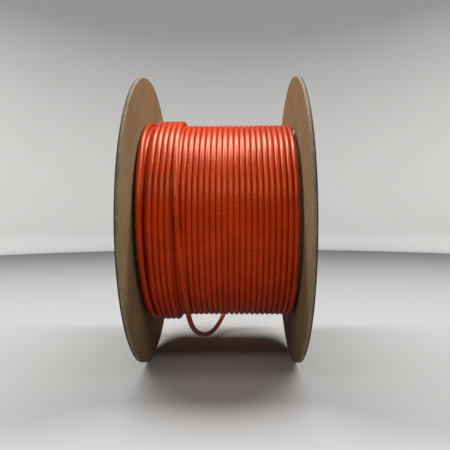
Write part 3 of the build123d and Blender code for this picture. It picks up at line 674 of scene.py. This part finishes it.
def build_fasteners(name, node, mesh_for, smooth_below=35.0):
    """One piece made of a finer mesh for every separate solid of a CAD node."""
    points, faces = joined(mesh_for(low, high) for low, high in solid_boxes(node))
    new_piece(name, points, faces, "zinc_steel", [node], "reel", smooth_below=smooth_below)


def build_tape():
    """Kraft tape laid over the lead end, with torn ends and small creases."""
    work = plain_faces("lead_tape")
    longest = max(work.edges, key=lambda edge: edge.calc_length())
    run = (longest.verts[1].co - longest.verts[0].co).normalized()
    half_run = longest.calc_length() / 2
    across = Vector((1, 0, 0)).cross(run)
    low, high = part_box("lead_tape")
    middle = (low + high) / 2
    half_width = max(abs((vert.co - middle).dot(across)) for vert in work.verts)
    work.free()
    board_x = high.x
    # Over the cord the tape rises by the arch: full height out to the crest, then down the shoulder.
    arch = high.x - low.x - 0.5 * MM
    crest = 1.44 * MM
    shoulder = 2.6 * MM
    thickness = 0.25 * MM
    glue = 0.03 * MM
    crease_depth = 0.10 * MM
    small_crease_depth = 0.05 * MM
    curl_height = 0.35 * MM
    curl_from = 0.8
    kept_run = 0.995
    columns, rows = 72, 40

    def spot(u, v, lift):
        """A point of the tape: u across the cord and v along it, both -1 to 1."""
        seed = Vector((u * 5, v * 4, 0.3))
        tear = 0.06 * noise.noise(Vector((v * 9, u * 2, 4.0)))
        tear += 0.02 * noise.noise(Vector((v * 40, 1.0, u)))
        side = u * half_width * (1 - abs(tear) * (u * u))
        height = (crest + shoulder - abs(side)) / shoulder
        height = min(1.0, max(0.0, height))
        rise = arch * height * height * (3 - 2 * height)
        crease = crease_depth * (0.5 + noise.noise(seed))
        crease += small_crease_depth * (0.5 + noise.noise(seed * 3))
        curl = curl_height * max(0.0, abs(u) - curl_from) / (1 - curl_from)
        curl *= 0.5 + noise.noise(Vector((u, v * 2, 7)))
        away = glue + rise + crease * (0.4 + 0.6 * abs(u)) + curl + lift
        flat_spot = middle + across * side + run * v * half_run * kept_run
        return Vector((board_x - away, flat_spot.y, flat_spot.z))

    points, faces = [], []
    for lift in (0.0, thickness):
        for i in range(columns + 1):
            for j in range(rows + 1):
                points.append(spot(2 * i / columns - 1, 2 * j / rows - 1, lift))
    sheet = (columns + 1) * (rows + 1)

    def corner(i, j, top):
        return top * sheet + i * (rows + 1) + j

    for top in (0, 1):
        for i in range(columns):
            for j in range(rows):
                square = ((i, j), (i + 1, j), (i + 1, j + 1), (i, j + 1))
                faces.append([corner(a, b, top) for a, b in square])
    rim = [(i, 0) for i in range(columns)] + [(columns, j) for j in range(rows)]
    rim += [(i, rows) for i in range(columns, 0, -1)] + [(0, j) for j in range(rows, 0, -1)]
    for here, there in zip(rim, rim[1:] + rim[:1]):
        faces.append([corner(*here, 0), corner(*there, 0), corner(*there, 1), corner(*here, 1)])
    new_piece("lead_kraft_tape", points, faces, "paper_tape", ["lead_tape"], "reel", smooth_below=60.0)


# ---------------------------------------------------------------- plugs
def build_spring(end):
    """The ferrule's coil spring, with a closed coil at each end."""
    node = f"{end}_ferrule_spring"
    low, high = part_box(node)
    centre = (low + high) / 2
    wire = 0.22 * MM
    reach = (high.x - low.x) / 2 - wire
    length = high.z - low.z - 2 * wire
    turns_total = 7.0
    closed = 1.0
    closed_rise = 2.1 * wire
    steps_per_turn = 30
    sides = 12
    rings = []
    count = int(turns_total * steps_per_turn)
    for i in range(count + 1):
        turn = i / steps_per_turn
        if turn < closed:
            rise = closed_rise * turn
        elif turn > turns_total - closed:
            rise = length - closed_rise * (turns_total - turn)
        else:
            share = (turn - closed) / (turns_total - 2 * closed)
            rise = closed_rise + (length - 2 * closed_rise) * share
        angle = 2 * math.pi * turn
        radial = Vector((math.cos(angle), math.sin(angle), 0))
        middle = Vector((centre.x, centre.y, low.z + wire + rise)) + radial * reach
        ring = []
        for side in range(sides):
            around = 2 * math.pi * side / sides
            upwards = Vector((0, 0, wire * math.sin(around)))
            ring.append(middle + radial * wire * math.cos(around) + upwards)
        rings.append(ring)
    points, faces = ring_mesh(rings, wrap=False)
    name = f"{end}_ferrule_coil_spring"
    piece = new_piece(name, points, faces, "spring_steel", [node], "reel", smooth_below=60.0)
    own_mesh(piece)


# The radius of an eased edge, and the sharpness of the edges that get one.
GRIP_EDGE = 0.22 * MM
MOULDED_EDGE = 0.12 * MM
TURNED_EDGE = 0.06 * MM
EASED_ABOVE = math.radians(32.0)


def build_eased(node, body, name, radius):
    """A CAD piece with the small edge radius that moulding or turning leaves on it."""
    work = plain_faces(node)
    crisp = [
        edge
        for edge in work.edges
        if len(edge.link_faces) == 2 and edge.calc_face_angle() > EASED_ABOVE
    ]
    bmesh.ops.bevel(
        work,
        geom=crisp,
        offset=radius,
        offset_type="OFFSET",
        segments=2,
        profile=0.5,
        affect="EDGES",
        clamp_overlap=True,
    )
    mesh = bpy.data.meshes.new(name)
    work.to_mesh(mesh)
    work.free()
    mesh.materials.append(LOOKS[SLOTS[node]])
    finish_normals(mesh, 28.0)
    add_piece(name, mesh, SLOTS[node], [node], body)


# ---------------------------------------------------------------- cord
def settle_jacket():
    """Small uneven heights along the turns, as a wound cord has, added to the CAD jacket by a modifier."""
    across_turns = 5.5 * MM
    along_turns = 26.0 * MM
    most = 0.10 * MM
    tree = bpy.data.node_groups.new("settled_turns", "GeometryNodeTree")
    tree.interface.new_socket("Geometry", in_out="INPUT", socket_type="NodeSocketGeometry")
    tree.interface.new_socket("Geometry", in_out="OUTPUT", socket_type="NodeSocketGeometry")
    new, link = tree.nodes.new, tree.links.new
    source = new("NodeGroupInput")
    place = new("GeometryNodeInputPosition")
    scaled = new("ShaderNodeVectorMath")
    scaled.operation = "MULTIPLY"
    scaled.inputs[1].default_value = (1 / across_turns, 1 / along_turns, 1 / along_turns)
    link(place.outputs[0], scaled.inputs[0])
    texture = new("ShaderNodeTexNoise")
    texture.inputs["Scale"].default_value = 1.0
    texture.inputs["Detail"].default_value = 1.0
    link(scaled.outputs[0], texture.inputs["Vector"])
    height = new("ShaderNodeMapRange")
    height.inputs["From Min"].default_value = 0.3
    height.inputs["From Max"].default_value = 0.7
    height.inputs["To Min"].default_value = -most
    height.inputs["To Max"].default_value = most
    link(texture.outputs["Fac"], height.inputs["Value"])
    flat = new("ShaderNodeVectorMath")
    flat.operation = "MULTIPLY"
    flat.inputs[1].default_value = (0, 1, 1)
    link(place.outputs[0], flat.inputs[0])
    radial = new("ShaderNodeVectorMath")
    radial.operation = "NORMALIZE"
    link(flat.outputs[0], radial.inputs[0])
    offset = new("ShaderNodeVectorMath")
    offset.operation = "SCALE"
    link(radial.outputs[0], offset.inputs[0])
    link(height.outputs[0], offset.inputs["Scale"])
    move = new("GeometryNodeSetPosition")
    link(source.outputs[0], move.inputs["Geometry"])
    link(offset.outputs[0], move.inputs["Offset"])
    result = new("NodeGroupOutput")
    link(move.outputs[0], result.inputs[0])
    modifier = NODES["cord_jacket"].modifiers.new("settled turns", "NODES")
    modifier.node_group = tree


# ---------------------------------------------------------------- stage
WALL_GLOW = 0.12  # stands in for the light that a wide white studio would throw on its walls


def build_backdrop():
    """A pale round floor, and a pale wall round it that sends no light back to the object; in metres."""
    turns = full_circle(128)
    middle = 0.05
    wall = 0.95
    bend = 0.05
    wall_height = 1.1
    bend_steps = 10
    corner = [math.pi / 2 * i / bend_steps for i in range(bend_steps + 1)]
    floor = [(middle, 0.0), (wall - bend, 0.0)]
    rise = [(wall - bend + bend * math.sin(turn), bend - bend * math.cos(turn)) for turn in corner]
    rise.append((wall, wall_height))
    for name, section, colour, closed in (
        ("floor", floor, (0.44, 0.437, 0.43), True),
        ("wall", rise, (0.84, 0.835, 0.815), False),
    ):
        points = []
        for reach, z in section:
            points += [(reach * math.cos(turn), reach * math.sin(turn), FLOOR_Z + z) for turn in turns]
        count = len(turns)
        faces = [tuple(range(count))] if closed else []
        for i in range(len(section) - 1):
            faces += band(i * count, (i + 1) * count, count)
        mesh = bpy.data.meshes.new(name)
        mesh.from_pydata(points, [], faces)
        finish_normals(mesh, 40.0)
        mesh.materials.append(stage_look(f"pale_{name}", colour, 0.0 if closed else WALL_GLOW))
        sheet = bpy.data.objects.new(name, mesh)
        sheet.visible_diffuse = closed
        sheet.visible_glossy = False
        bpy.context.scene.collection.objects.link(sheet)


def add_light(name, place, width, height, power):
    """A soft rectangular light that faces the middle of the reel."""
    light = bpy.data.lights.new(name, "AREA")
    light.shape = "RECTANGLE"
    light.size = width
    light.size_y = height
    light.energy = power
    lamp = bpy.data.objects.new(name, light)
    lamp.location = place
    lamp.rotation_mode = "QUATERNION"
    lamp.rotation_quaternion = (REEL_MIDDLE - Vector(place)).to_track_quat("-Z", "Y")
    bpy.context.scene.collection.objects.link(lamp)


def build_lights():
    """Two long panels, one overhead and one high in front, whose reflections band the turns; in metres."""
    length = 2.2
    add_light("top_panel", (0.0, 0.106, 0.62), width=length, height=0.15, power=16.0)
    add_light("front_panel", (0.0, -0.49, 0.42), width=length, height=0.125, power=3.4)
    world = bpy.data.worlds.new("studio")
    world.use_nodes = True
    background = world.node_tree.nodes["Background"]
    background.inputs["Color"].default_value = (1.0, 1.0, 1.0, 1.0)
    background.inputs["Strength"].default_value = 0.08
    bpy.context.scene.world = world
    bpy.context.scene.view_settings.view_transform = "Standard"


# The camera, fitted to the rims of both flanges: millimetres and degrees.
CAMERA_PLACE = (8.16, -277.68, 2.26)
CAMERA_TURN = (1.211, 1.065, -0.22)  # yaw, pitch, roll
SENSOR = 36.0
LENS = 36.84


def build_camera():
    """The camera of the reference view: near the axis' height, square to the reel."""
    yaw, pitch, roll = (math.radians(angle) for angle in CAMERA_TURN)
    # Rows: image right, image down, view direction, for a camera that looks along +Y.
    level = Matrix(((1, 0, 0), (0, 0, -1), (0, 1, 0)))
    roll_and_pitch = Matrix.Rotation(roll, 3, "Z") @ Matrix.Rotation(pitch, 3, "X")
    right, down, forward = roll_and_pitch @ Matrix.Rotation(yaw, 3, "Y") @ level
    axes = Matrix((right, -down, -forward)).transposed()
    data = bpy.data.cameras.new("camera")
    data.sensor_width = SENSOR
    data.lens = LENS
    data.clip_start = 0.01
    camera = bpy.data.objects.new("camera", data)
    camera.matrix_world = Matrix.Translation(Vector(CAMERA_PLACE) * MM) @ axes.to_4x4()
    bpy.context.scene.collection.objects.link(camera)
    bpy.context.scene.camera = camera


# ---------------------------------------------------------------- the whole object
for node, cad_object in NODES.items():
    cad_object.data.materials.clear()
    cad_object.data.materials.append(LOOKS[SLOTS[node]])

build_flange("left_flange", -1)
build_flange("right_flange", 1)
build_fasteners("tie_rod_hex_nuts", "tie_rod_nuts", nut_mesh, smooth_below=25.0)
build_fasteners("tie_rod_punched_washers", "tie_rod_washers", washer_mesh)
build_fasteners("tie_rod_studs", "tie_rods", rod_mesh, smooth_below=50.0)
build_tape()
settle_jacket()
for end in ENDS:
    build_spring(end)
    build_eased(f"{end}_grip", f"{end}_grip", f"{end}_grip_moulding", GRIP_EDGE)
    build_eased(f"{end}_plug_frame", "reel", f"{end}_plug_frame_moulding", MOULDED_EDGE)
    build_eased(f"{end}_boot", "reel", f"{end}_boot_moulding", MOULDED_EDGE)
    build_eased(f"{end}_dust_cap", f"{end}_dust_cap", f"{end}_dust_cap_moulding", MOULDED_EDGE)
    build_eased(f"{end}_stop_body", "reel", f"{end}_stop_body_turning", TURNED_EDGE)
    build_eased(f"{end}_crimp_ring", "reel", f"{end}_crimp_ring_turning", TURNED_EDGE)
build_backdrop()
build_lights()
build_camera()
